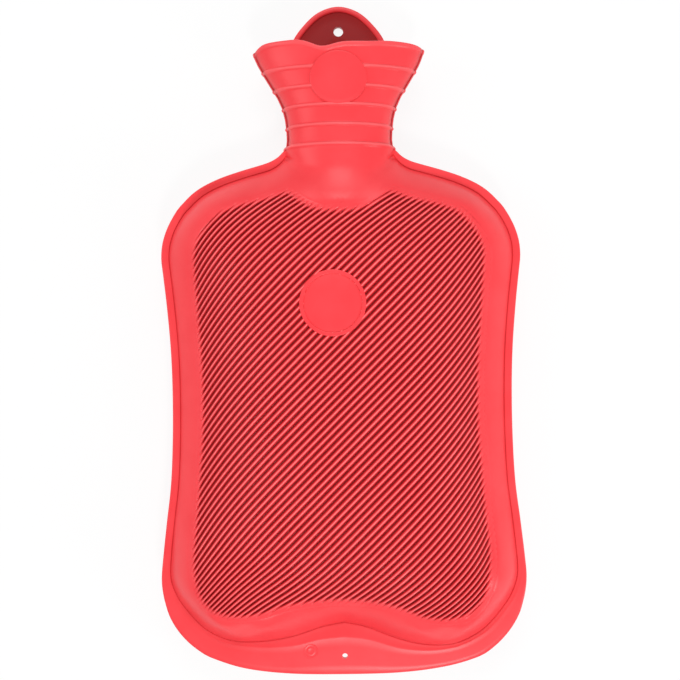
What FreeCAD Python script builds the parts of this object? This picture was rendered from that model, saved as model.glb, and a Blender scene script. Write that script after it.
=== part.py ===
import FreeCAD, Part
import math
import os

# A moulded rubber hot water bottle that lies on its back, ribbed face up, neck towards +Y.
# Lengths are in millimetres. The origin is under the middle of its outline, on the floor.

# The body's outline, seen from above
overall_length = 371.0
hip_width = 200.0
waist_width = 186.5
shoulder_width = 197.0
hip_from_foot = 53.5
waist_from_foot = 150.5
shoulder_from_foot = 229.0
top_from_foot = 280.5
foot_corner_x = 45.0
shoulder_corner_x = 40.0

# The seam where the two mould halves met, and the flat edge along it
seam_height = 21.0
flange_thickness = 3.2
flange_width = 4.5
foot_flange = 29.0
lobe_slope = 0.25
foot_hole_diameter = 3.1
foot_hole_from_foot = 10.2

# The bladder's arched front and flatter back
crown_height = 27.0
crown_flat = 80.0
side_radius = 65.0
# Shares of the side's arc at which it is parted, so that no one face carries every groove
side_splits = (0, 0.25, 0.45, 0.6, 1)
end_radius = 45.0
back_radius = 24.0
wall = 2.4

# The ribbed panel on the front
rib_pitch = 3.07
groove_width = 1.5
rib_depth = 1.8
rib_point = 6.0
panel_border = 14.5
neck_scallop_radius = 35.0
neck_scallop_depth = 13.0
badge_diameter = 35.2
badge_rim = 2.0
badge_sink = 0.4
badge_from_foot = 202.5
badge_x = -4.5
badge_gap = 1.2

# The neck, and the flattened funnel above it
neck_width = 55.0
neck_depth = 36.6
neck_root_from_foot = 291.0
neck_spread_width = 82.5
neck_spread_reach = 27.5
funnel_start_from_foot = 304.0
mouth_from_foot = 341.0
mouth_width = 91.5
mouth_depth = 42.0
edge_web = 2.0
band_count = 5
band_pitch = 10.2
band_width = 1.8
band_height = 0.9
first_band_from_foot = 288.0
funnel_badge_diameter = 31.0
funnel_badge_height = 0.5
funnel_badge_from_foot = 322.0

# The hanging tab on the funnel's back wall
tab_width = 56.0
tab_thickness = 3.0
tab_rim = 3.0
tab_rim_height = 1.0
tab_root = 8.0
tab_hole_diameter = 5.5
tab_hole_from_tip = 14.0

# The threaded insert that the neck is moulded round, and its stopper
socket_diameter = 30.0
socket_length = 24.0
socket_from_foot = 282.5
socket_lip = 3.0
bond_gap = 0.05
passage_diameter = 25.0
thread_pitch = 5.0
thread_length = 12.5
thread_depth = 1.8
thread_base = 1.9
thread_tip = 1.0
shank_diameter = 16.0
thread_clearance = 0.3
thread_relief = 3.0
thread_overlap = 0.4
shank_length = 18.0
washer_diameter = 26.5
washer_thickness = 2.3
washer_clearance = 0.3
head_diameter = 27.5
head_thickness = 3.6
grip_width = 29.0
grip_height = 19.0
grip_thickness = 8.0
grip_corner = 7.0
hub_diameter = 17.0

V = FreeCAD.Vector
ALONG = V(0, 1, 0)
UP = V(0, 0, 1)
foot_y = -overall_length / 2
tab_tip_y = overall_length / 2
hip_y = foot_y + hip_from_foot
waist_y = foot_y + waist_from_foot
shoulder_y = foot_y + shoulder_from_foot
top_y = foot_y + top_from_foot
mouth_y = foot_y + mouth_from_foot
badge_y = foot_y + badge_from_foot
socket_y = foot_y + socket_from_foot
socket_top = socket_y + socket_length
foot_lobes = foot_flange - lobe_slope * foot_corner_x
thin = 1.0
tall = seam_height + crown_height + 10.0

# How many points trace the panel's edge, and each quarter of an ellipse
edge_points = 240
corner_steps = 4


def spline(points, start, end):
    """A smooth edge through points, leaving along start and arriving along end"""
    curve = Part.BSplineCurve()
    curve.interpolate(Points=points, InitialTangent=start, FinalTangent=end)
    return curve.toShape()


def line(a, b):
    """A straight edge"""
    return Part.LineSegment(a, b).toShape()


def arc(centre, radius, start, end, point):
    """An arc between two angles in degrees, where point turns an angle's cosine and sine into a place"""
    places = []
    for angle in (start, (start + end) / 2, end):
        turn = math.radians(angle)
        across = centre[0] + radius * math.cos(turn)
        along = centre[1] + radius * math.sin(turn)
        places.append(point(across, along))
    return Part.Arc(*places).toShape()


def corner(centre_x, centre_y, reach_x, reach_y, start, end):
    """A quarter of an ellipse, between two angles in degrees"""
    points = []
    for step in range(corner_steps + 1):
        turn = math.radians(start + (end - start) * step / corner_steps)
        points.append(V(centre_x + reach_x * math.cos(turn), centre_y + reach_y * math.sin(turn), 0))
    first, last = math.radians(start), math.radians(end)
    leave = V(-reach_x * math.sin(first), reach_y * math.cos(first), 0)
    arrive = V(-reach_x * math.sin(last), reach_y * math.cos(last), 0)
    return spline(points, leave, arrive)


def both_halves(right):
    """The closed wire of some edges and their mirror images across the bottle"""
    left = [edge.mirror(V(0, 0, 0), V(1, 0, 0)) for edge in right]
    return Part.Wire(Part.sortEdges(right + left)[0])


def body_outline(inset, foot_margin):
    """The body's closed outline, moved inwards by inset, and by foot_margin at the foot"""
    hip = hip_width / 2 - inset
    waist = waist_width / 2 - inset
    shoulder = shoulder_width / 2 - inset
    foot = foot_y + foot_margin
    top = top_y - inset
    right = [
        line(V(0, foot, 0), V(foot_corner_x, foot, 0)),
        corner(foot_corner_x, hip_y, hip - foot_corner_x, hip_y - foot, -90, 0),
        spline([V(hip, hip_y, 0), V(waist, waist_y, 0), V(shoulder, shoulder_y, 0)], ALONG, ALONG),
        corner(shoulder_corner_x, shoulder_y, shoulder - shoulder_corner_x, top - shoulder_y, 0, 90),
        line(V(shoulder_corner_x, top, 0), V(0, top, 0)),
    ]
    return both_halves(right)


def raised(wire, low, high):
    """The solid that stands over a flat wire, from one height to another"""
    solid = Part.Face(wire).extrude(V(0, 0, high - low))
    solid.translate(V(0, 0, low))
    return solid


def rim(reach, radius, centre_z, inward):
    """Centre and seam angle of an arc that meets the seam at reach, and is then moved inwards"""
    lift = seam_height - centre_z
    centre = reach - math.sqrt(radius**2 - lift**2)
    return centre, math.degrees(math.asin(lift / (radius - inward)))


def crosswise(front, back):
    """The bladder's arch from side to side, with its front and back walls moved inwards"""
    side_x = crown_flat / 2
    side_z = seam_height + crown_height - side_radius
    edge_x = side_x + math.sqrt(side_radius**2 - (seam_height - side_z) ** 2)
    level = math.degrees(math.asin((seam_height - side_z) / (side_radius - front)))
    back_x, below = rim(edge_x, back_radius, back_radius, back)
    top = seam_height + crown_height - front

    def place(across, height):
        return V(across, foot_y, height)

    side = []
    for start, end in zip(side_splits, side_splits[1:]):
        turned = [90 + (level - 90) * share for share in (start, end)]
        side.append(arc((side_x, side_z), side_radius - front, *turned, place))
    under = arc((back_x, back_radius), back_radius - back, below, -90, place)
    right = [line(place(0, top), place(side_x, top)), under, line(place(back_x, back), place(0, back))]
    if front > back:
        right.append(line(side[-1].Vertexes[-1].Point, under.Vertexes[0].Point))
    return Part.Face(both_halves(right + side)).extrude(V(0, overall_length, 0))


def end_section(front, back):
    """Half of the bladder's section from the seam's end inwards, its middle far along +Y"""
    front_z = seam_height + crown_height + thin - end_radius
    back_z = back_radius - thin
    front_y, level = rim(0, end_radius, front_z, front)
    back_y, below = rim(0, back_radius, back_z, back)

    def place(inward, height):
        return V(0, -inward, height)

    front_arc = arc((front_y, front_z), end_radius - front, level, 90, place)
    back_arc = arc((back_y, back_z), back_radius - back, below, -90, place)
    top = front_arc.Vertexes[-1].Point
    bottom = back_arc.Vertexes[-1].Point
    far_top = V(0, overall_length, top.z)
    far_bottom = V(0, overall_length, bottom.z)
    edges = [front_arc, back_arc, line(top, far_top), line(far_top, far_bottom), line(far_bottom, bottom)]
    if front > back:
        edges.append(line(front_arc.Vertexes[0].Point, back_arc.Vertexes[0].Point))
    return Part.Face(Part.Wire(Part.sortEdges(edges)[0]))


def bladder(front, back, edge, slope):
    """The bulging body inside the flange, with its front, back and edge moved inwards"""
    half = hip_width / 2
    section = end_section(front, back)
    ends = []
    for side in (slope, -slope):
        lobe = section.extrude(V(2 * overall_length, 0, 0))
        lobe.translate(V(-overall_length, 0, 0))
        lobe.rotate(V(0, 0, 0), UP, -math.degrees(math.atan(side)))
        lobe.translate(V(0, foot_y + foot_flange, 0))
        ends.append(lobe)
    top_end = section.mirror(V(0, 0, 0), ALONG)
    top_end.translate(V(-half, top_y - flange_width, 0))
    top_end = top_end.extrude(V(2 * half, 0, 0))
    outline = body_outline(flange_width + edge, foot_lobes + edge)
    body = raised(outline, -thin, tall).common(crosswise(front, back)).common(top_end)
    if slope:
        return body.common(ends[0].fuse(ends[1]))
    return body.common(ends[0])


def oval(y, width, depth):
    """An elliptical ring across the neck's axis"""
    ring = Part.Ellipse(V(0, 0, 0), width / 2, depth / 2).toShape()
    ring.rotate(V(0, 0, 0), V(1, 0, 0), 90)
    ring.translate(V(0, y, seam_height))
    return Part.Wire(ring)


def neck_form(grow):
    """The neck and funnel as one smooth solid, made larger all round by grow"""
    root_y = foot_y + neck_root_from_foot
    funnel_y = foot_y + funnel_start_from_foot
    sections = [
        oval(top_y - neck_spread_reach, neck_spread_width + 2 * grow, neck_depth + 2 * grow),
        oval(root_y, neck_width + 2 * grow, neck_depth + 2 * grow),
        oval(funnel_y, neck_width + 2 * grow, neck_depth + 2 * grow),
        oval(mouth_y, mouth_width + 2 * grow, mouth_depth + 2 * grow),
    ]
    return Part.makeLoft(sections, True, True)


def funnel_hollow():
    """The space inside the funnel, from the socket's top out through the mouth"""
    seat = socket_diameter + 2 * socket_lip
    mouth = oval(mouth_y + thin, mouth_width - 2 * wall, mouth_depth - 2 * wall)
    return Part.makeLoft([oval(socket_top, seat, seat - 2 * wall), mouth], True, True)


def cylinder_along(radius, low_y, high_y):
    """A round bar on the neck's axis"""
    return Part.makeCylinder(radius, high_y - low_y, V(0, low_y, seam_height), ALONG)


def upright(radius, x, y, low, high):
    """A round bar that stands up from the floor plane"""
    return Part.makeCylinder(radius, high - low, V(x, y, low), UP)


def seam_plate():
    """The flat flange round the body, and the thin web that carries it up the neck"""
    low = seam_height - flange_thickness / 2
    body = raised(body_outline(0, 0), low, low + flange_thickness)
    funnel_y = foot_y + funnel_start_from_foot
    neck = neck_width / 2 + edge_web
    mouth = mouth_width / 2 + edge_web
    fillet = shoulder_corner_x - neck
    right = [
        line(V(0, top_y - flange_width, 0), V(shoulder_corner_x, top_y - flange_width, 0)),
        line(V(shoulder_corner_x, top_y - flange_width, 0), V(shoulder_corner_x, top_y, 0)),
        corner(shoulder_corner_x, top_y + fillet, fillet, fillet, 270, 180),
        line(V(neck, top_y + fillet, 0), V(neck, funnel_y, 0)),
        spline([V(neck, funnel_y, 0), V(mouth, mouth_y, 0)], ALONG, V(mouth - neck, mouth_y - funnel_y, 0)),
        line(V(mouth, mouth_y, 0), V(0, mouth_y, 0)),
    ]
    web = raised(both_halves(right), low, low + flange_thickness)
    return body.fuse(web)


def bands():
    """The raised rings round the neck and funnel, parted where the badge lies"""
    skin = neck_form(band_height)
    badge = upright(funnel_badge_diameter / 2, 0, foot_y + funnel_badge_from_foot, seam_height, tall)
    rings = []
    for count in range(band_count):
        middle = foot_y + first_band_from_foot + count * band_pitch
        slab = Part.makeBox(2 * mouth_width, band_width, tall, V(-mouth_width, middle - band_width / 2, 0))
        rings.append(skin.common(slab).cut(badge))
    return rings, neck_form(funnel_badge_height).common(badge)


def tab():
    """The hanging tab, a rounded plate with a raised rim and a hole"""
    root_y = mouth_y - tab_root
    length = tab_tip_y - mouth_y

    def outline(inset):
        side = tab_width / 2 - inset
        right = [
            line(V(0, root_y, 0), V(side, root_y, 0)),
            line(V(side, root_y, 0), V(side, mouth_y, 0)),
            corner(0, mouth_y, side, length - inset, 0, 90),
        ]
        return both_halves(right)

    plate = raised(outline(0), 0, tab_thickness + tab_rim_height)
    field = raised(outline(tab_rim), tab_thickness, tall)
    return plate, field


def panel_outline():
    """The edge of the ribbed panel as a ring of points, with the neck's scallop left out"""
    inset = flange_width + panel_border
    points = body_outline(inset, foot_lobes + panel_border).discretize(Number=edge_points)
    scallop_y = top_y - inset - neck_scallop_depth + neck_scallop_radius
    middle_y = foot_y + foot_flange + panel_border
    edge = []
    for point in points:
        foot_line = middle_y - lobe_slope * abs(point.x)
        lowered = max(point.y, foot_line)
        if abs(point.x) < neck_scallop_radius:
            dip = scallop_y - math.sqrt(neck_scallop_radius**2 - point.x**2)
            if point.y > 0:
                lowered = min(lowered, dip)
        edge.append(V(point.x, lowered, 0))
    return edge


def crossings(edge, offset):
    """Where the rib line y = x + offset crosses a ring of points, as places along X"""
    found = []
    for first, second in zip(edge, edge[1:] + edge[:1]):
        here = first.y - first.x - offset
        there = second.y - second.x - offset
        if here * there < 0:
            share = here / (here - there)
            found.append(first.x + share * (second.x - first.x))
    return sorted(found)


def grooves():
    """Pointed grooves at 45 degrees between the ribs, as upright solids"""
    edge = panel_outline()
    step = rib_pitch * math.sqrt(2)
    keep = badge_diameter / 2 + badge_gap
    reach = int((hip_width + overall_length) / (2 * step))
    aside = V(-1, 1, 0).normalize() * (groove_width / 2)
    ahead = V(1, 1, 0).normalize() * rib_point
    made = []
    for count in range(-reach, reach + 1):
        offset = count * step
        spans = crossings(edge, offset)
        near = (badge_x + badge_y - offset) / 2
        from_line = abs(badge_y - badge_x - offset) / math.sqrt(2)
        if from_line < keep:
            half = math.sqrt((keep**2 - from_line**2) / 2)
            spans = sorted(spans + [near - half, near + half])
        for start, end in zip(spans[::2], spans[1::2]):
            if (end - start) * math.sqrt(2) < 3 * rib_point:
                continue
            a, b = V(start, start + offset, 0), V(end, end + offset, 0)
            ring = [a, a + ahead - aside, b - ahead - aside, b, b - ahead + aside, a + ahead + aside, a]
            made.append(raised(Part.makePolygon(ring), seam_height, tall))
    return made


def rubber():
    """The whole rubber body: bladder, flange, ribs, neck, funnel and tab"""
    outer = bladder(0, 0, 0, lobe_slope)
    lowered = bladder(rib_depth, 0, 0, lobe_slope)
    sink_z = seam_height + crown_height - badge_sink
    sink = upright(badge_diameter / 2 - badge_rim, badge_x, badge_y, sink_z, tall)
    cutters = Part.makeCompound(grooves()).cut(lowered)
    ribbed = outer.cut(Part.makeCompound(cutters.Solids + [sink]))
    rings, badge = bands()
    plate, field = tab()
    hollow = funnel_hollow()
    shell = neck_form(0).fuse([seam_plate(), badge] + rings)
    shell = shell.cut([bladder(rib_depth, wall, 0, lobe_slope)])
    seat = cylinder_along(socket_diameter / 2 + bond_gap, socket_y, socket_top + thin)
    passage = cylinder_along(passage_diameter / 2, top_y - 2 * neck_spread_reach, socket_y + thin)
    shell = ribbed.fuse(shell)
    shell = shell.cut([bladder(wall + rib_depth, wall, wall, 0), passage, seat, hollow])
    shell = shell.fuse(plate.cut([field, hollow]))
    tab_hole_y = tab_tip_y - tab_hole_from_tip
    tab_hole = upright(tab_hole_diameter / 2, 0, tab_hole_y, -thin, tall)
    foot_hole = upright(foot_hole_diameter / 2, 0, foot_y + foot_hole_from_foot, 0, tall)
    floor = Part.makeBox(2 * hip_width, 2 * overall_length, tall, V(-hip_width, -overall_length, -tall))
    shell = shell.cut([tab_hole, foot_hole, floor])
    return shell


def thread_ridge(root_radius, tip_radius, low_y, turns):
    """A right-hand helical ridge on the neck's axis, its root sunk into the wall that carries it"""
    outward = 1 if tip_radius > root_radius else -1
    foot = root_radius - outward * thread_overlap
    path = Part.makeHelix(thread_pitch, thread_pitch * turns, root_radius)
    base, tip = thread_base / 2, thread_tip / 2
    places = [(foot, -base), (foot, base), (tip_radius, tip), (tip_radius, -tip)]
    ring = [V(across, 0, along) for across, along in places]
    profile = Part.makePolygon(ring + ring[:1])
    ridge = Part.Wire(path.Edges).makePipeShell([profile], True, True)
    ridge.rotate(V(0, 0, 0), V(1, 0, 0), -90)
    ridge.translate(V(0, low_y, seam_height))
    return ridge


def neck_socket():
    """The threaded insert in the neck, a plain sleeve with a coarse inner thread"""
    bore = shank_diameter / 2 + thread_depth + thread_clearance
    sleeve = cylinder_along(socket_diameter / 2, socket_y, socket_top)
    sleeve = sleeve.cut(cylinder_along(bore, socket_y, socket_top))
    first = socket_top - thread_relief - thread_length + thread_pitch / 2
    turns = (thread_length - thread_pitch / 2) / thread_pitch
    return sleeve.fuse(thread_ridge(bore, shank_diameter / 2 + thread_clearance, first, turns))


def stopper_washer():
    """The flat rubber ring that seals between the socket's top and the stopper's head"""
    high_y = socket_top + washer_thickness
    ring = cylinder_along(washer_diameter / 2, socket_top, high_y)
    return ring.cut(cylinder_along(shank_diameter / 2 + washer_clearance, socket_top, high_y))


def stopper():
    """The screw stopper: threaded shank, sealing head and a winged grip"""
    head_y = socket_top + washer_thickness
    shank = cylinder_along(shank_diameter / 2, socket_top - shank_length, head_y)
    head = cylinder_along(head_diameter / 2, head_y, head_y + head_thickness)
    grip_y = head_y + head_thickness
    grip_place = V(-grip_width / 2, grip_y, seam_height - grip_thickness / 2)
    grip = Part.makeBox(grip_width, grip_height, grip_thickness, grip_place)
    uprights = [e for e in grip.Edges if e.BoundBox.ZLength > grip_thickness / 2]
    far = [e for e in uprights if e.CenterOfMass.y > grip_y + grip_height / 2]
    grip = grip.makeFillet(grip_corner, far)
    hub = cylinder_along(hub_diameter / 2, grip_y, grip_y + grip_height / 2)
    first = socket_top - thread_relief - thread_length
    turns = (thread_length - thread_pitch / 2) / thread_pitch
    ridge = thread_ridge(shank_diameter / 2, shank_diameter / 2 + thread_depth, first, turns)
    return shank.fuse([head, grip, hub, ridge])


def mould_halves():
    """The front and the back rubber sheet, which meet at the seam"""
    whole = rubber()
    above = Part.makeBox(2 * hip_width, 2 * overall_length, tall, V(-hip_width, -overall_length, seam_height))
    return whole.common(above), whole.cut(above)


front, back = mould_halves()
pieces = {
    "ribbed_front": front,
    "plain_back": back,
    "neck_socket": neck_socket(),
    "stopper_washer": stopper_washer(),
    "stopper": stopper(),
}
os.makedirs("parts", exist_ok=True)
for name, solid in pieces.items():
    solid.exportStep("parts/" + name + ".step")
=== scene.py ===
import math
import bpy
import numpy as np
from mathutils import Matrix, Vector


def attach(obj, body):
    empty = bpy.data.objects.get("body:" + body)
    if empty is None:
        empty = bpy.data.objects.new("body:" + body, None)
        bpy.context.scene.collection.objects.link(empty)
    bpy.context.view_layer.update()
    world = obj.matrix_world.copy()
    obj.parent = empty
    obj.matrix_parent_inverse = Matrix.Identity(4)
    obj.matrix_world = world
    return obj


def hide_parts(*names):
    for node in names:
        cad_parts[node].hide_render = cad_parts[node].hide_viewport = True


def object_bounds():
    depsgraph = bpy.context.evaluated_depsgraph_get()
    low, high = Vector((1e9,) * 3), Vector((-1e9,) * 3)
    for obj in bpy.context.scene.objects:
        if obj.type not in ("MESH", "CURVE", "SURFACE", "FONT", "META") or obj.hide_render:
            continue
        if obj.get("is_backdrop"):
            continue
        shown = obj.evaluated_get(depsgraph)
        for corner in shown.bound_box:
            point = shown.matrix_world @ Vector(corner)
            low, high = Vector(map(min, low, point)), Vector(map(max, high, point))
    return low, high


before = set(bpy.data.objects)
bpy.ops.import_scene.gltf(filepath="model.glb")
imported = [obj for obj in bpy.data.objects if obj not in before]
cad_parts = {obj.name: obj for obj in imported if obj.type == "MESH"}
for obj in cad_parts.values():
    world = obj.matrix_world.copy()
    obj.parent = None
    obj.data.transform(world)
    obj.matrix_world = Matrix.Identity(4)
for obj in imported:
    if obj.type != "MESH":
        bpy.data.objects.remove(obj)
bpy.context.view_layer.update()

# The bottle's skin: natural rubber, moulded in two halves that meet at the seam round the edge.
# Each half starts as a grid whose rows run from the outline over the crease to the middle, and up
# the neck, over the lip and down inside the funnel. It is mirrored, and the halves are welded.
# Heights in millimetres: the seam over the floor, half the flange's thickness, and the crown.
seam_z = 21.0
flange_z = 1.6
crown_z = 47.85

# Half of the outline, of the crease inside the flange, and of the ribbed panel's edge, seen from
# above in millimetres, from the foot's middle round the side and shoulder to the neck.
stations = [
    ((0, -185.5), (0, -156.7), (0, -142.0)),
    ((15, -185.4), (12.5, -159.5), (10, -142.4)),
    ((29.3, -184.9), (26, -164.8), (20, -143.8)),
    ((45, -183.4), (38, -168.3), (31.6, -146.9)),
    ((60.5, -180.6), (49, -169.7), (42, -151.0)),
    ((74.2, -176.2), (58.5, -169.3), (52.4, -152.5)),
    ((81.1, -171.8), (66.5, -166.6), (60, -151.8)),
    ((86, -167.4), (74, -162.3), (66, -150.0)),
    ((89.9, -163), (79.5, -157.5), (70.5, -147.3)),
    ((92.9, -158.7), (83.8, -152.5), (74, -143.6)),
    ((95.3, -154.3), (87.3, -148), (76.4, -139.5)),
    ((97, -149.9), (90.3, -143.6), (78, -135.0)),
    ((99.2, -141.1), (93.4, -136.8), (79.4, -128.5)),
    ((100, -132), (94.9, -129.5), (80.3, -120.0)),
    ((98.9, -119.2), (94.2, -118.2), (80.2, -112.0)),
    ((96.9, -101.7), (92.4, -101.2), (79, -98.0)),
    ((94.3, -79.8), (89.8, -79.5), (77.5, -78.5)),
    ((93.1, -53.5), (88.6, -53.5), (75.6, -53.0)),
    ((93, -27.2), (88.5, -27.2), (75.3, -27.0)),
    ((93.8, -5.2), (89.3, -5.1), (76.2, -5.0)),
    ((95.6, 16.7), (91.1, 16.9), (77.8, 16.0)),
    ((97.5, 34.2), (93, 33.9), (78.8, 33.0)),
    ((98.4, 43), (93.9, 42.6), (79, 43.0)),
    ((97.6, 51.7), (93.2, 50.6), (77.5, 49.5)),
    ((94.6, 60.5), (90.5, 58.6), (75.3, 54.2)),
    ((89.6, 69.3), (85.8, 66.6), (71, 60.0)),
    ((85.7, 73.7), (82.1, 70.6), (65, 65.9)),
    ((81.4, 78), (78.2, 74.5), (58, 69.0)),
    ((75.1, 82.4), (72.5, 78.6), (51, 71.2)),
    ((65.7, 86.8), (63.8, 82.7), (44, 72.7)),
    ((55, 90.4), (53.5, 86.2), (37.5, 74.5)),
    ((46, 93), (44.3, 88.8), (31, 76.8)),
    ((40, 94.8), (38.2, 90.6), (26.8, 77.5)),
    ((36.6, 96.3), (34.6, 92.6), (22.5, 74.8)),
    ((34.2, 97.8), (32.1, 94.7), (16, 70.2)),
    ((32.7, 99.1), (30.5, 96.7), (8, 67.7)),
    ((31.6, 100.3), (29.4, 98.6), (0, 67.4)),
]

# Half-width of the neck and funnel over its edge web, and the depth of its front, by height
neck_table = np.array([
    (100.3, 31.6, 18.3), (101.3, 30.6, 18.3), (103.5, 29.3, 18.3), (107, 28.9, 18.3),
    (112, 29.1, 18.3), (118, 29.8, 18.4), (124, 31.2, 18.6), (130, 33.9, 18.9), (136, 37.6, 19.3),
    (142, 41.2, 19.8), (148, 44.4, 20.3), (153, 46.3, 20.7), (156, 47.0, 21.0),
])

# Heights of the neck's raised rings and of the badge that they stop at, how far a ring stands out,
# half a ring's width, the neck's lower end, and the width of the web along its edge
band_places = (102.3, 112.7, 123.2, 133.1, 143.2)
funnel_badge_y = 136.8
band_high = 0.95
band_half = 0.82
neck_base_y = 101
web = 1.1

# The funnel's inside down to the socket's seat and the water passage: height, half-width, half-depth
funnel_inside = [
    (152, 41.6, 18.4), (148, 39.5, 18.0), (142, 36.2, 17.4), (136, 32.4, 16.9), (130, 27.8, 16.4),
    (126, 23.6, 16.1), (123, 20, 15.9), (121.1, 18, 15.6), (121, 15.2, 15.15), (120.8, 15.05, 15.05),
    (97, 15.05, 15.05), (96.9, 12.6, 12.6), (60, 12.5, 12.5), (59.9, 0.01, 0.01),
]

# Soft swells and hollows over the foot: middle, half-length, half-width, slant, height
foot_waves = [
    (-46, -165.0, 13, 2.7, 0.02, 2.6), (-37, -156.4, 10, 3.4, 0.4, -3.4), (41, -158.2, 7, 4, -0.3, 1.6),
    (54, -160.5, 6, 4, 0, -1.3), (66, -155.5, 6, 4, 0.6, 1.4),
]


def through(points, counts):
    """Points on a smooth curve through some points, with so many steps to each of its spans"""
    p = np.array(points, float)
    padded = np.vstack([2 * p[0] - p[1], p, 2 * p[-1] - p[-2]])
    made = [p[0]]
    for i, count in enumerate(counts):
        a, b, c, d = padded[i:i + 4]
        for t in np.arange(1, count + 1) / count:
            made.append(0.5 * (2 * b + (c - a) * t + (2 * a - 5 * b + 4 * c - d) * t**2
                               + (3 * b - a - 3 * c + d) * t**3))
    return np.array(made)


def soft_max(a, b, reach):
    """The larger of two heights, rounded where they are nearly equal"""
    gap = np.clip(reach - np.abs(a - b), 0, None)
    return np.maximum(a, b) + gap**2 / (4 * reach)


def ease(value, start, end):
    """Rises smoothly from 0 at start to 1 at end"""
    t = np.clip((value - start) / (end - start), 0, 1)
    return t * t * (3 - 2 * t)


table = np.array(stations)
steps = [max(2, round(float(np.linalg.norm(b - a)) / 3)) for a, b in zip(table[:-1, 0], table[1:, 0])]
outline, crease, panel_edge = (through(table[:, i], steps) for i in range(3))
bladder_ring = np.vstack([crease[:-3], [(0, neck_base_y)], crease[:-3][::-1] * (-1, 1)])
panel_ring = np.vstack([panel_edge, panel_edge[::-1][1:-1] * (-1, 1)])


def inward(x, y):
    """A smooth distance inwards from the bladder's edge, which no ridge crosses in its corners"""
    a = bladder_ring
    b = np.roll(a, -1, 0)
    length = np.linalg.norm(b - a, axis=1)
    keep = length > 1e-6
    a, b, length = a[keep], b[keep], length[keep]
    along = (b - a) / length[:, None]
    total = np.zeros(x.shape)
    for start, way, span in zip(a, along, length):
        u = (x - start[0]) * way[0] + (y - start[1]) * way[1]
        off = np.maximum(np.abs((x - start[0]) * way[1] - (y - start[1]) * way[0]), 1e-2)
        for sign, s in ((1, span - u), (-1, -u)):
            total += sign * (s / (2 * off**2 * (off**2 + s**2)) + np.arctan(s / off) / (2 * off**3))
    return np.cbrt(math.pi / 2 / np.maximum(total, 1e-12))


def inside(x, y, ring):
    """Which points lie inside a ring"""
    found = np.zeros(x.shape, bool)
    for (ax, ay), (bx, by) in zip(ring, np.roll(ring, -1, 0)):
        if ay != by:
            crosses = (ay > y) != (by > y)
            found ^= crosses & (x < ax + (y - ay) * (bx - ax) / (by - ay))
    return found


def ring_distance(x, y, ring):
    """Distance to the nearest point of a ring"""
    best = np.full(x.shape, 1e9)
    for a, b in zip(ring, np.roll(ring, -1, 0)):
        way = b - a
        size = max(float(way @ way), 1e-9)
        t = np.clip(((x - a[0]) * way[0] + (y - a[1]) * way[1]) / size, 0, 1)
        best = np.minimum(best, np.hypot(x - a[0] - t * way[0], y - a[1] - t * way[1]))
    return best


def dome(x, y, height):
    """How far the bladder's face stands off the flange; it rises faster at the ends than at the sides"""
    depth = np.where(inside(x, y, bladder_ring), inward(x, y), 0)
    ends = ease(y, 20, 75) + ease(-y, 85, 140)
    share = 74 - 22 * ends - 17 * ends * ease(np.abs(x), 30, 75)
    face = height * (1 - (1 - np.clip(depth / share, 0, 1)) ** 3.15)
    for wave_x, wave_y, long, short, slant, high in foot_waves:
        along = x - wave_x
        off = y - wave_y - slant * along
        face = face + high * np.exp(-(along / long) ** 2 - (off / short) ** 2) * ease(depth, 0, 3)
    return face


def neck_arch(x, y, bands):
    """How far the neck stands off the seam's middle, widening into a cone over the shoulders"""
    low_y = (0, 20, 35, 50, 60, 70, 80, 90, 98)
    half = np.interp(y, np.append(low_y, neck_table[1:, 0]),
                     np.append((18, 18, 18, 18.5, 19, 20.5, 23, 26, 28.6), neck_table[1:, 1] - web))
    high = np.interp(y, np.append(low_y, neck_table[1:, 0]),
                     np.append((10, 12, 18, 20, 20.3, 20.2, 19.7, 19.0, 18.4), neck_table[1:, 2]))
    half, high = half + bands, high + bands
    q = np.abs(x) / half
    arch = np.where(q < 1, high * np.sqrt(np.clip(1 - q**2, 0, 1)), -20 * (q - 1))
    return arch - 40 * ease(-y, -40, 0)


def band_height(x, y):
    """The raised rings on the neck, which stop at the round badge"""
    rise = sum(band_high * np.exp(-((y - place) / band_half) ** 4) for place in band_places)
    rise = rise * (1 - (1 - ease(np.hypot(x, (y - funnel_badge_y) * 1.08), 12.6, 14.4)) * (y > 120))
    return rise + 0.45 * ease(y, 152.9, 153.9)


def bare_front(x, y, bands=0):
    """Height of the smooth front, in millimetres, without its raised rings"""
    face = seam_z + flange_z + dome(x, y, crown_z - seam_z - flange_z)
    reach = 1.5 + 3.5 * ease(-y, -101, -95) + 3 * ease(-y, -92, -70)
    knuckle = 1.4 * np.exp(-((x - 2.6) / 8) ** 2 - ((y - 71.8) / 4.8) ** 2)
    return np.minimum(soft_max(face, seam_z + neck_arch(x, y, bands), reach) + knuckle, crown_z)


def front_z(x, y):
    """Height of the front with its raised rings"""
    return bare_front(x, y, band_height(x, y))


def back_z(x, y):
    """Height of the back, which is flat where the bottle rests on it"""
    depth = np.where(inside(x, y, bladder_ring), inward(x, y), 0)
    full = seam_z - flange_z
    share = 20 - 4 * (ease(y, 20, 75) + ease(-y, 85, 140))
    face = full * np.sqrt(1 - (1 - np.clip(depth / share, 0, 1)) ** 2)
    rings = band_height(x * 0 + 40, y)
    neck = neck_arch(x, y, rings) - flange_z
    lowest = 0.08 * ease(y, 95, 110)
    return np.maximum(full - soft_max(soft_max(face, neck, 5.0), neck * 0, 0.8), lowest)


def settle(x, y):
    """How much higher up the left lobe of the foot sits than the right one, in millimetres"""
    return 2.8 * np.exp(-((x + 50) / 28) ** 2) * ease(-y, 110, 145) * ease(y, -183, -172)


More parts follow.
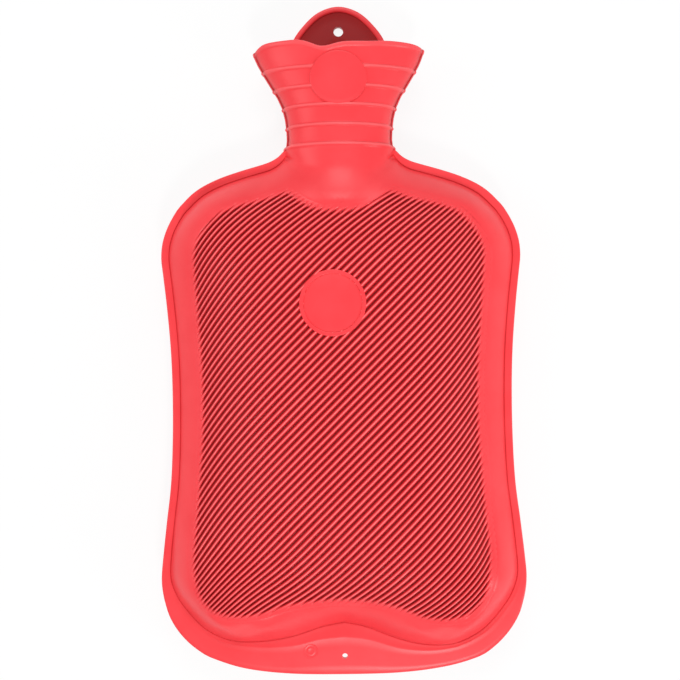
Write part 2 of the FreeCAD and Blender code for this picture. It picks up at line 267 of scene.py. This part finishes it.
def neck_rows():
    """The rows up the neck: the edge's height and the middle's height of each"""
    rows = [(100.3 + 1.0 * t, 67.4 + 33.9 * t) for t in np.linspace(0.1, 1, 12)]
    heights = [101.6, 102.0, 102.5, 102.9, 103.2, 103.45, 103.8]
    for before, place in zip(band_places, band_places[1:]):
        start = before + 1.8
        end = place - 1.8
        heights += list(np.linspace(start, end, 6)[1:])
        heights += [place + step for step in (-1.5, -1.15, -0.9, -0.6, -0.25, 0.25, 0.6, 0.9, 1.15, 1.5)]
    heights += list(np.linspace(145.2, 152.7, 6)) + [153.1, 153.4, 153.7, 154.1, 154.7, 155.2]
    return rows + [(y, y) for y in sorted(set(np.round(heights, 3)))]


def half_sheet(front):
    """Places of one half's grid: rows along the outline and up the neck, columns inwards"""
    across = np.array([0, 0.03, 0.07, 0.12, 0.18, 0.25, 0.32, 0.4, 0.48, 0.57, 0.66, 0.77, 0.88, 1])
    tip = np.append(across * 0.925, (0.945, 0.972, 1.0))
    tube = np.array((0, 0.02, 0.05, 0.09, 0.13, 0.18, 0.23, 0.29, 0.35, 0.42, 0.49, 0.56, 0.63, 0.7,
                     0.77, 0.84, 0.91))
    rows = []
    for p, q, s in zip(outline, crease, panel_edge):
        width = max(np.linalg.norm(q - p), 4.5)
        line = width - min(np.interp(p[0], (0, 45, 75, 90), (8, 4.6, 3.2, 2.6)), 0.6 * width)
        flat_part = line - 1.4
        edge = [0, 0.25, 0.8, 0.8 + 0.25 * flat_part, 0.8 + 0.75 * flat_part, line - 0.6, line, line + 0.6,
                width - 1.5, width - 0.7, width - 0.25]
        centre = np.array((0.0, np.interp(s[1], (-142, 67.4), (-100, 60))))
        if s[0] == 0 and s[1] > 0:
            centre = s
        reach = np.linalg.norm(s - q)
        gap = max(np.linalg.norm(centre - s), 1e-6)
        row = [p + (q - p) * t / width for t in edge]
        row += [q + (s - q) * t * (reach - 3.2) / reach for t in across]
        row += [q + (s - q) * (1 - t / reach) for t in (2.4, 1.2, 0)]
        near = min(3.0 / gap, 0.6)
        row += [s + (centre - s) * t for t in (0.4 * near, near)]
        rows.append(row + [s + (centre - s) * (near + (1 - near) * t) for t in (0.25, 0.5, 0.75, 1)])
    for count, (side_y, middle_y) in enumerate(neck_rows()):
        w = np.interp(side_y, neck_table[:, 0], neck_table[:, 1])
        w += 0.6 * band_height(np.array(w), np.array(side_y))
        middle = 0.3 * w * ease(count, -1, 12)
        xs = [w - web * e for e in (0, 0.2, 0.4, 0.45, 0.5, 0.55, 0.6, 0.7, 0.8, 0.88, 0.95)]
        xs += list(w - web - (w - web - middle) * (tip + (tube - tip) * ease(count, 0, 11)))
        xs += [middle * t for t in (0.85, 0.7, 0.5, 0.35, 0.18, 0)]
        rows.append([(x, middle_y + (side_y - middle_y) * x / w) for x in xs])
    flat = np.array(rows)
    x, y = flat[..., 0], flat[..., 1]
    z = front_z(x, y) if front else back_z(x, y)
    toward = 1 if front else -1
    z[:, 0] = seam_z
    z[:, 1] = seam_z + toward * (flange_z - 0.45)
    z[:, 2] = seam_z + toward * flange_z
    body = len(outline)
    # Columns of the flange's raised line and of the fold at the crease, and the first under the ribs
    line_column, fold_column, under_ribs = 6, 11, 25
    if front:
        z[:body, line_column] += 0.08 + 0.1 * ease(-y[:body, line_column], 100, 140)
        z[:body, fold_column] -= 0.5 - 0.3 * ease(-y[:body, fold_column], 125, 150)
        fall = np.array([0.08, 0.3, 0.8, 2.2, 3.4, 3.6, 3.6, 3.6, 3.6])
        z[:body - 1, under_ribs:] -= fall
        z[body - 1, under_ribs:] -= 0.3
    sheet = np.stack([x, y, z], -1)
    last = sheet[-1]
    mouth_deep = neck_table[-1, 2]
    lip = []
    for rise, inset in ((0.5, 0.25), (0.75, 0.9), (0.6, 1.7), (-0.1, 2.3)):
        row = last.copy()
        row[:, 0] *= 1 - 1.6 * inset / last[0, 0]
        row[:, 1] += rise
        row[:, 2] = seam_z + (last[:, 2] - seam_z) * (1 - inset / mouth_deep)
        lip.append(row)
    outer = np.arctan2((last[:, 2] - seam_z) / mouth_deep, last[:, 0] / last[0, 0])
    even = np.linspace(0, math.pi / 2, len(last)) * toward
    down = []
    for count, (y_at, half, deep) in enumerate(funnel_inside):
        turn = outer + (even - outer) * min(1, 0.4 + 0.3 * count)
        x_down = half * np.cos(turn)
        z_down = seam_z + deep * np.sin(turn)
        down.append(np.stack([x_down, np.full(len(last), y_at), z_down], -1))
    return np.concatenate([sheet, np.array(lip), np.array(down)])


def sheet_mesh(name, places):
    """A grid of as many rows and columns as places has, its points moved there"""
    rows, columns = places.shape[:2]
    bpy.ops.object.select_all(action="DESELECT")
    bpy.ops.mesh.primitive_grid_add(x_subdivisions=columns - 1, y_subdivisions=rows - 1, size=0.2)
    made = bpy.context.object
    made.name = name
    made.data.vertices.foreach_set("co", (places * 0.001).astype(np.float32).ravel())
    made.data.update()
    return made


def pick(piece, points):
    """Selects these points of a mesh and nothing else"""
    mesh = piece.data
    mesh.polygons.foreach_set("select", np.zeros(len(mesh.polygons), bool))
    mesh.edges.foreach_set("select", np.zeros(len(mesh.edges), bool))
    mesh.vertices.foreach_set("select", points)


skin_weld = 0.00002


def mirrored(piece):
    """Adds the other half of a piece, welded to it along the middle"""
    bpy.context.view_layer.objects.active = piece
    change = piece.modifiers.new("other side", "MIRROR")
    change.merge_threshold = skin_weld
    bpy.ops.object.modifier_apply(modifier=change.name)


def weld(distance):
    """Welds points of the active mesh that lie this close, in metres, and turns its faces outwards"""
    bpy.ops.object.mode_set(mode="EDIT")
    bpy.ops.mesh.select_all(action="SELECT")
    bpy.ops.mesh.remove_doubles(threshold=distance)
    bpy.ops.mesh.normals_make_consistent(inside=False)
    bpy.ops.object.mode_set(mode="OBJECT")


def joined(name, pieces):
    """Several meshes joined into one piece, which is the first one's object"""
    bpy.ops.object.select_all(action="DESELECT")
    for piece in pieces:
        piece.select_set(True)
    bpy.context.view_layer.objects.active = pieces[0]
    bpy.ops.object.join()
    pieces[0].name = name
    return pieces[0]


front_half = sheet_mesh("front_half", half_sheet(True))
back_half = sheet_mesh("back_half", half_sheet(False))
for half in (front_half, back_half):
    mirrored(half)
skin = joined("rubber_skin", [front_half, back_half])
weld(skin_weld)


def lip_wave(x, z):
    """How far the soft lip's front sags: it dips in the middle and stands higher beside that"""
    dip = 2.5 * np.exp(-((x + 8.5) / 7.5) ** 2)
    front = (dip - 1.7 * ease(-x, 8, 24) - 0.8 * ease(x, 12, 30)) * ease(z, 22, 34)
    return front + 1.0 * ease(-x, 40, 47)


# The rubber's colour reads two painted values at each point: a painted highlight, paler along a ridge, and
# painted shade, darker in a fold. On the body the fold is the crease, and on the neck the web.
fold_width = 0.7
co = np.empty(len(skin.data.vertices) * 3, np.float32)
skin.data.vertices.foreach_get("co", co)
co = co.reshape(-1, 3) * 1000
highlight_values = skin.data.attributes.new("painted_highlight", "FLOAT", "POINT")
# Painted highlight: the tops of the neck's raised rings are coloured paler.
raised = 0.42 * band_height(co[:, 0], co[:, 1]) * (co[:, 2] > seam_z)
highlight_values.data.foreach_set("value", raised.astype(np.float32))
# Painted shade: a dark line is coloured along the crease round the body and along the web beside the neck.
fold = np.where(co[:, 1] < neck_base_y, ring_distance(co[:, 0], co[:, 1], bladder_ring),
                np.abs(np.interp(co[:, 1], neck_table[:, 0], neck_table[:, 1]) - web - np.abs(co[:, 0])))
fold_shade_values = skin.data.attributes.new("painted_shade", "FLOAT", "POINT")
on_front = (co[:, 2] > seam_z) * (co[:, 2] < seam_z + 5)
dark = np.where(co[:, 1] < neck_base_y, 0.18, 0.6)
shadow = dark * np.exp(-(fold / fold_width) ** 2) * on_front
fold_shade_values.data.foreach_set("value", shadow.astype(np.float32))
co[:, 1] += settle(co[:, 0], co[:, 1]) - lip_wave(co[:, 0], co[:, 2]) * ease(co[:, 1], 144, 155)
skin.data.vertices.foreach_set("co", (co * 0.001).ravel())


def drill(piece, x, y, radius):
    """A round hole right through a piece, from above"""
    bpy.ops.object.select_all(action="DESELECT")
    bpy.ops.mesh.primitive_cylinder_add(vertices=32, radius=radius * 0.001, depth=0.1,
                                        location=(x * 0.001, y * 0.001, 0.02))
    cutter = bpy.context.object
    bpy.context.view_layer.objects.active = piece
    change = piece.modifiers.new("hole", "BOOLEAN")
    change.operation = "DIFFERENCE"
    change.object = cutter
    bpy.ops.object.modifier_apply(modifier=change.name)
    bpy.data.objects.remove(cutter)


def smooth(piece, degrees):
    """Shades a piece smooth, apart from its edges that are sharper than this"""
    bpy.ops.object.select_all(action="DESELECT")
    piece.select_set(True)
    bpy.context.view_layer.objects.active = piece
    bpy.ops.object.shade_smooth_by_angle(angle=math.radians(degrees))


foot_hole_y, foot_hole_r = -175.3, 1.55
drill(skin, 0, foot_hole_y, foot_hole_r)
smooth(skin, 50)

# The ribbed panel: raised ribs at 45 degrees that come out of the same rubber and end in points.
# It is a grid with its lines along the ribs, cut to the panel's edge and laid on the front, with a
# round gap for the badge. Over panel_edge_run the ribs reach their full depth, and crest_round is
# how much of half a rib's width its rounded crest takes up.
rib_pitch = 3.07
rib_depth = 2.3
panel_shift = -1.2
panel_edge_run = 2.6
crest_round = 0.22
patch_margin = 2.8
badge_x, badge_y, badge_r = -4.5, 17.0, 17.6


def ribbed_patch():
    """The ribs' grid from above, with lines that curve as the rubber does, and how far across each is"""
    across = np.array([0, 0.16, 0.3, 0.41, 0.5, 0.59, 0.7, 0.84])
    v = (np.arange(-62, 63)[:, None] + across).ravel() * rib_pitch
    w = np.arange(-190, 190, 2.0)
    vv, ww = np.meshgrid(v, w, indexing="ij")
    xs = np.linspace(-100, 100, 801)
    sx = np.cumsum(1 + 0.62 * np.abs(xs / 79) ** 4) * 0.25
    sx -= np.interp(0, xs, sx)
    ys = np.linspace(-190, 110, 1201)
    shoulder = np.clip((ys - 25) / 32, 0, 2)
    foot = np.clip((-105 - ys) / 32, 0, 2)
    ty = np.cumsum(1 + 0.25 * shoulder ** 2 + 0.28 * foot ** 2) * 0.25
    ty -= np.interp(0, ys, ty)
    x = np.interp((ww - vv) / math.sqrt(2), sx, xs)
    y = np.interp((ww + vv) / math.sqrt(2), ty, ys)
    return x, y, vv


px, py, phase = ribbed_patch()
shifted = panel_ring + (panel_shift, 0)
rough = (np.abs(px) < 86) & (py > -158) & (py < 82)
depth_in = np.full(px.shape, -99.0)
side = np.where(inside(px[rough], py[rough], shifted), 1, -1)
depth_in[rough] = ring_distance(px[rough], py[rough], shifted) * side
from_crest = np.abs((phase / rib_pitch) % 1 - 0.5) * 2
valley = (np.hypot(from_crest, crest_round) - crest_round) / 0.804
relief = np.clip(valley - 1 + np.clip(depth_in / panel_edge_run, 0, 1), 0, 1)
pz = np.full(px.shape, 30.0)
keep = (depth_in > -patch_margin) & (np.hypot(px - badge_x, py - badge_y) > badge_r - 2.6)
pz[keep] = front_z(px[keep], py[keep]) + 0.01 - rib_depth * relief[keep]
pz -= 0.2 * ease(-depth_in, 1.4, patch_margin)
patch = sheet_mesh("ribs", np.stack([px, py + settle(px, py), pz], -1))
# Painted shade: the colour darkens towards the bottom of each valley between the ribs.
painted_shade = patch.data.attributes.new("painted_shade", "FLOAT", "POINT")
painted_shade.data.foreach_set("value", ease(relief, 0.15, 0.85).astype(np.float32).ravel())
# Painted highlight: a pale line is coloured along each rib's crest, fading in from the panel's edge.
highlight_values = patch.data.attributes.new("painted_highlight", "FLOAT", "POINT")
crest_highlight = (1 - ease(from_crest, 0.04, 0.36)) * ease(depth_in, 0, 4)
highlight_values.data.foreach_set("value", crest_highlight.astype(np.float32).ravel())
pick(patch, ~keep.ravel())
bpy.ops.object.mode_set(mode="EDIT")
bpy.ops.mesh.delete(type="VERT")
bpy.ops.mesh.select_all(action="SELECT")
bpy.ops.mesh.normals_make_consistent(inside=False)
bpy.ops.object.mode_set(mode="OBJECT")
bpy.ops.object.shade_smooth()


# The round badges, one on the panel and one on the funnel, and the mould's dial mark on the foot:
# discs of the same rubber that follow the surface under them, with raised rims and bare faces.
disc_weld = 0.00001


def disc(name, x, y, wide, tall, profile, surface):
    """A disc on a surface, from its profile of shares of the radius and heights over the surface"""
    angles = np.linspace(0, 2 * math.pi, 97)
    rows = []
    for share, high in profile:
        xs = x + wide * share * np.cos(angles)
        ys = y + tall * share * np.sin(angles)
        rows.append(np.stack([xs, ys, surface(xs, ys) + high], -1))
    made = sheet_mesh(name, np.array(rows))
    weld(disc_weld)
    smooth(made, 40)
    return made


panel_badge_profile = [
    (1, -2.8), (1, -0.1), (0.993, 0.05), (0.98, 0.12), (0.9, 0.12), (0.885, 0.02), (0.878, -0.45),
    (0.87, -0.55), (0.85, -0.45), (0.6, -0.4), (0.3, -0.4), (0.0001, -0.4),
]
panel_badge = disc("panel_badge", badge_x, badge_y, badge_r, badge_r, panel_badge_profile, bare_front)

funnel_badge_x, funnel_badge_wide, funnel_badge_tall = -0.4, 15.3, 14.0
funnel_badge_profile = [
    (1, -0.4), (1, 0.6), (0.99, 0.85), (0.97, 0.95), (0.93, 0.95), (0.9, 0.85), (0.8, 0.8),
    (0.6, 0.8), (0.4, 0.8), (0.2, 0.8), (0.0001, 0.8),
]
funnel_badge = disc("funnel_badge", funnel_badge_x, funnel_badge_y, funnel_badge_wide,
                    funnel_badge_tall, funnel_badge_profile, bare_front)

dial_x, dial_y, dial_r = -18.6, -172.4, 3.9
dial_profile = [
    (1, -0.1), (0.95, 0.28), (0.85, 0.28), (0.75, 0.16), (0.6, 0.16), (0.5, 0.28), (0.4, 0.28),
    (0.3, 0.16), (0.0001, 0.16),
]
dial_mark = disc("dial_mark", dial_x, dial_y, dial_r, dial_r, dial_profile, bare_front)

# The hanging tab: a rounded plate of the same rubber with a raised rim and a hole for a hook. Its
# lower part is moulded on to the funnel's back wall, so its top is lowered to just inside that wall.
tab_high = 3.0
hang_hole_y, hang_hole_r = 171.5, 2.75

# Its outline. The last point only steers the curve, and the base closes with a straight line.
tab_corners = [
    (0, 138.6), (-12, 138.9), (-21, 140.8), (-27.2, 147.5), (-28, 154), (-26.3, 164.8),
    (-20.5, 173.9), (-11.3, 182.2), (0, 185.5), (11.3, 182.2), (20.5, 173.9), (26.3, 164.8),
    (28, 154), (27.2, 147.5), (21, 140.8), (12, 138.9),
]
# Its profile from the middle of the underside, round the edge and over the rim to the middle of
# the field: share of the way out from the middle, inset from the outline, and height
tab_profile = [
    (0.001, 0, 0), (0.5, 0, 0), (1, 0.3, 0), (1, 0, 0.3), (1, 0, 3.4), (1, 0.15, 3.8), (1, 0.5, 4),
    (1, 2.2, 4), (1, 2.6, 3.85), (1, 2.9, 3.4), (1, 3.1, 3.1), (1, 3.6, tab_high),
    (0.8, 3.6, tab_high), (0.5, 3.6, tab_high), (0.25, 3.6, tab_high), (0.001, 3.6, tab_high),
]
tab_points = through(tab_corners, [6] * (len(tab_corners) - 2))
along = np.gradient(tab_points, axis=0)
inwards = np.column_stack([along[:, 1], -along[:, 0]]) / np.linalg.norm(along, axis=1)[:, None]
tab_middle = np.array((0.0, 156.0))
rows = []
for shrink, inset, high in tab_profile:
    ring = tab_middle + (tab_points + inwards * inset - tab_middle) * shrink
    rows.append(np.column_stack([ring, np.full(len(ring), high)]))
rows = np.array(rows)
rows = np.concatenate([rows, rows[:, :1]], axis=1)
wall = back_z(rows[..., 0], np.minimum(rows[..., 1], 155)) + 0.7
free = np.maximum(rows[..., 2] - wall, 0) * (1 - ease(rows[..., 1], 156.3, 158.5))
rows[..., 2] -= free
tab = sheet_mesh("tab", rows)
weld(disc_weld)
drill(tab, 0, hang_hole_y, hang_hole_r)
# Painted shade: the tab's sunk field is coloured darker than its rim.
field_shade = tab.data.attributes.new("painted_shade", "FLOAT", "POINT")
tab_co = np.empty(len(tab.data.vertices) * 3, np.float32)
tab.data.vertices.foreach_get("co", tab_co)
on_field = np.abs(tab_co[2::3] - tab_high * 0.001) < 0.0002
field_shade.data.foreach_set("value", on_field.astype(np.float32) * 0.95)
smooth(tab, 50)

skin = joined("rubber_moulding", [skin, patch, panel_badge, funnel_badge, dial_mark, tab])


# The rubber's look: satin natural rubber, red, a little uneven in its tint, with a grain so fine that only
# the gloss shows it. Its colour has shade painted dark into the valleys and folds, where the light is lost
# between the ribs, and a highlight painted pale on the crests. That is what lets the ribs stand out.
def lit(colour):
    """A written colour as linear light"""
    parts = [int(colour[i:i + 2], 16) / 255 for i in (1, 3, 5)]
    return [c / 12.92 if c <= 0.04045 else ((c + 0.055) / 1.055) ** 2.4 for c in parts] + [1]


def node(material, kind, links=(), **settings):
    """A node with its inputs set, and its inputs linked from (input, node, output)"""
    tree = material.node_tree
    made = tree.nodes.new(kind)
    for key, value in settings.items():
        if hasattr(made, key):
            setattr(made, key, value)
        else:
            made.inputs[key.replace("_", " ")].default_value = value
    for name, source, output in links:
        tree.links.new(source.outputs[output], made.inputs[name])
    return made


def material(name, colour, roughness):
    """A new material and its shader"""
    made = bpy.data.materials.new(name)
    made.use_nodes = True
    shader = made.node_tree.nodes["Principled BSDF"]
    shader.inputs["Base Color"].default_value = lit(colour)
    shader.inputs["Roughness"].default_value = roughness
    return made, shader


def between(made, pattern, dark, pale):
    """A colour that runs between two tints as the pattern does"""
    mixed = node(made, "ShaderNodeMix", [("Factor", pattern, "Fac")], data_type="RGBA")
    mixed.inputs[6].default_value = lit(dark)
    mixed.inputs[7].default_value = lit(pale)
    return mixed


def fine_grain(made, shader, scale, detail, strength):
    """A bump too small to see as a shape, which breaks up the gloss"""
    place = node(made, "ShaderNodeTexCoord")
    grain = node(made, "ShaderNodeTexNoise", [("Vector", place, "Object")], Scale=scale, Detail=detail)
    bump = node(made, "ShaderNodeBump", [("Height", grain, "Fac")], Strength=strength, Distance=0.0002)
    made.node_tree.links.new(bump.outputs[0], shader.inputs["Normal"])


def dress(piece, finish):
    """Gives a piece this material and no other"""
    piece.data.materials.clear()
    piece.data.materials.append(finish)


rubber, shader = material("moulded_natural_rubber", "#F0343C", 0.34)
shader.inputs["Specular IOR Level"].default_value = 0.3
place = node(rubber, "ShaderNodeTexCoord")
mottle = node(rubber, "ShaderNodeTexNoise", [("Vector", place, "Object")], Scale=55.0, Detail=4.0)
tint = between(rubber, mottle, "#EF363D", "#F94A50")
shade_value = node(rubber, "ShaderNodeAttribute", attribute_name="painted_shade")
strength = node(rubber, "ShaderNodeMath", [(0, shade_value, "Fac")], operation="MULTIPLY")
strength.inputs[1].default_value = 0.97
# Painted shade: the tint is mixed towards a deep red where the shade value is high.
shade = node(rubber, "ShaderNodeMix", [("Factor", strength, "Value")], data_type="RGBA")
rubber.node_tree.links.new(tint.outputs[2], shade.inputs[6])
shade.inputs[7].default_value = lit("#8E0103")
highlight_value = node(rubber, "ShaderNodeAttribute", attribute_name="painted_highlight")
# Painted highlight: a pale pink is mixed over the rib crests and the neck's raised rings.
highlight_mix = node(rubber, "ShaderNodeMix", [("Factor", highlight_value, "Fac")], data_type="RGBA")
rubber.node_tree.links.new(shade.outputs[2], highlight_mix.inputs[6])
highlight_mix.inputs[7].default_value = lit("#FF7C7F")
rubber.node_tree.links.new(highlight_mix.outputs[2], shader.inputs["Base Color"])
fine_grain(rubber, shader, 2600.0, 3.0, 0.1)
dress(skin, rubber)
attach(skin, "bottle")
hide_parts("ribbed_front", "plain_back")

# The neck's socket: a threaded insert of natural polypropylene that the neck is moulded round. It
# keeps the CAD's own shape. The plastic is milky and slightly glossy, light sinks a little way into
# it, and a noise that is stretched along the neck gives it the faint marks of its flow in the mould.
poly, shader = material("natural_polypropylene", "#E4E0D4", 0.38)
place = node(poly, "ShaderNodeTexCoord")
flow = node(poly, "ShaderNodeMapping", [("Vector", place, "Object")], vector_type="POINT")
flow.inputs["Scale"].default_value = (1, 0.2, 1)
marks = node(poly, "ShaderNodeTexNoise", [("Vector", flow, "Vector")], Scale=220.0, Detail=3.0)
milky = between(poly, marks, "#DAD5C7", "#ECE9E0")
poly.node_tree.links.new(milky.outputs[2], shader.inputs["Base Color"])
fine_grain(poly, shader, 1800.0, 2.0, 0.1)
shader.inputs["Subsurface Weight"].default_value = 0.15
shader.inputs["Subsurface Radius"].default_value = (0.002, 0.002, 0.0015)
dress(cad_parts["neck_socket"], poly)

# The stopper's washer: a flat ring of black sealing rubber that sits on the stopper's shank. It
# keeps the CAD's own shape. It is matt, and a soft noise gives it the pale bloom of stored rubber.
seal, shader = material("black_sealing_rubber", "#1B1B1C", 0.65)
place = node(seal, "ShaderNodeTexCoord")
bloom = node(seal, "ShaderNodeTexNoise", [("Vector", place, "Object")], Scale=260.0, Detail=5.0)
dusty = between(seal, bloom, "#151516", "#2B2A29")
seal.node_tree.links.new(dusty.outputs[2], shader.inputs["Base Color"])
fine_grain(seal, shader, 2400.0, 2.0, 0.25)
dress(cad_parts["stopper_washer"], seal)

# The stopper: dark red polypropylene, moulded in one, which screws into the socket. It keeps the
# CAD's own shape. It has a slight gloss, and a twisted noise gives its colour the moulding's swirls.
cap, shader = material("dark_red_polypropylene", "#8E1520", 0.34)
place = node(cap, "ShaderNodeTexCoord")
swirl = node(cap, "ShaderNodeTexNoise", [("Vector", place, "Object")], Scale=150.0, Detail=4.0,
             Distortion=1.5)
deep = between(cap, swirl, "#7E0F19", "#9E1C27")
cap.node_tree.links.new(deep.outputs[2], shader.inputs["Base Color"])
fine_grain(cap, shader, 1600.0, 2.0, 0.12)
dress(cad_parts["stopper"], cap)

# The floor: a plain white sheet, larger than the view. The camera and the gloss see it mostly as an
# even glow, so that it stays white, and it still takes the bottle's soft shadow from the rest.
paper_glow = 0.88
bpy.ops.object.select_all(action="DESELECT")
bpy.ops.mesh.primitive_plane_add(size=6, location=(0, 0, -0.0005))
floor = bpy.context.object
floor.name = "floor"
white, shader = material("white_paper", "#F4F4F4", 0.9)
tree = white.node_tree
path = node(white, "ShaderNodeLightPath")
glow = node(white, "ShaderNodeEmission", Strength=1.0)
mix = node(white, "ShaderNodeMixShader")
either = node(white, "ShaderNodeMath", operation="MAXIMUM")
tree.links.new(path.outputs["Is Camera Ray"], either.inputs[0])
tree.links.new(path.outputs["Is Glossy Ray"], either.inputs[1])
scaled = node(white, "ShaderNodeMath", operation="MULTIPLY")
tree.links.new(either.outputs[0], scaled.inputs[0])
scaled.inputs[1].default_value = paper_glow
tree.links.new(scaled.outputs[0], mix.inputs[0])
tree.links.new(shader.outputs[0], mix.inputs[1])
tree.links.new(glow.outputs[0], mix.inputs[2])
tree.links.new(mix.outputs[0], tree.nodes["Material Output"].inputs[0])
floor.data.materials.append(white)
floor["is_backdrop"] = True

# Light: a white room, a wide soft lamp beyond the head, a smaller one beyond the foot, a wide one
# high on the left and a small one low on the right. Each points at the middle of the bottle.
room_light = 0.44
world = bpy.data.worlds.new("room")
bpy.context.scene.world = world
world.use_nodes = True
world.node_tree.nodes["Background"].inputs[0].default_value = (1, 1, 1, 1)
world.node_tree.nodes["Background"].inputs[1].default_value = room_light
lamps = [("head", (0.0, 1.2, 1.2), 0.9, 10.5), ("foot", (0.2, -0.95, 1.2), 0.25, 8.0),
         ("left", (-1.3, 0.1, 0.95), 0.8, 5.4), ("right", (0.75, -0.4, 0.45), 0.3, 2.4)]
for name, place, size, power in lamps:
    lamp = bpy.data.lights.new(name, "AREA")
    lamp.size = size
    lamp.energy = power
    holder = bpy.data.objects.new(name, lamp)
    holder.location = place
    holder.rotation_mode = "QUATERNION"
    holder.rotation_quaternion = (Vector(place) * -1).to_track_quat("-Z", "Y")
    bpy.context.scene.collection.objects.link(holder)

# The camera, straight above the bottle and turned a little, as the photo was taken. It is 600 mm
# above the seam and sees a width of 372.6 mm there.
sensor_width = 36
camera_distance = 600
seen_width = 372.6
camera_turn = -0.62
view = bpy.data.cameras.new("camera")
view.sensor_width = sensor_width
view.lens = sensor_width * camera_distance / seen_width
holder = bpy.data.objects.new("camera", view)
holder.location = (-0.0009, -0.0025, 0.621)
holder.rotation_euler = (0, 0, math.radians(camera_turn))
bpy.context.scene.collection.objects.link(holder)
bpy.context.scene.camera = holder
bpy.context.scene.view_settings.view_transform = "Standard"

low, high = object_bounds()
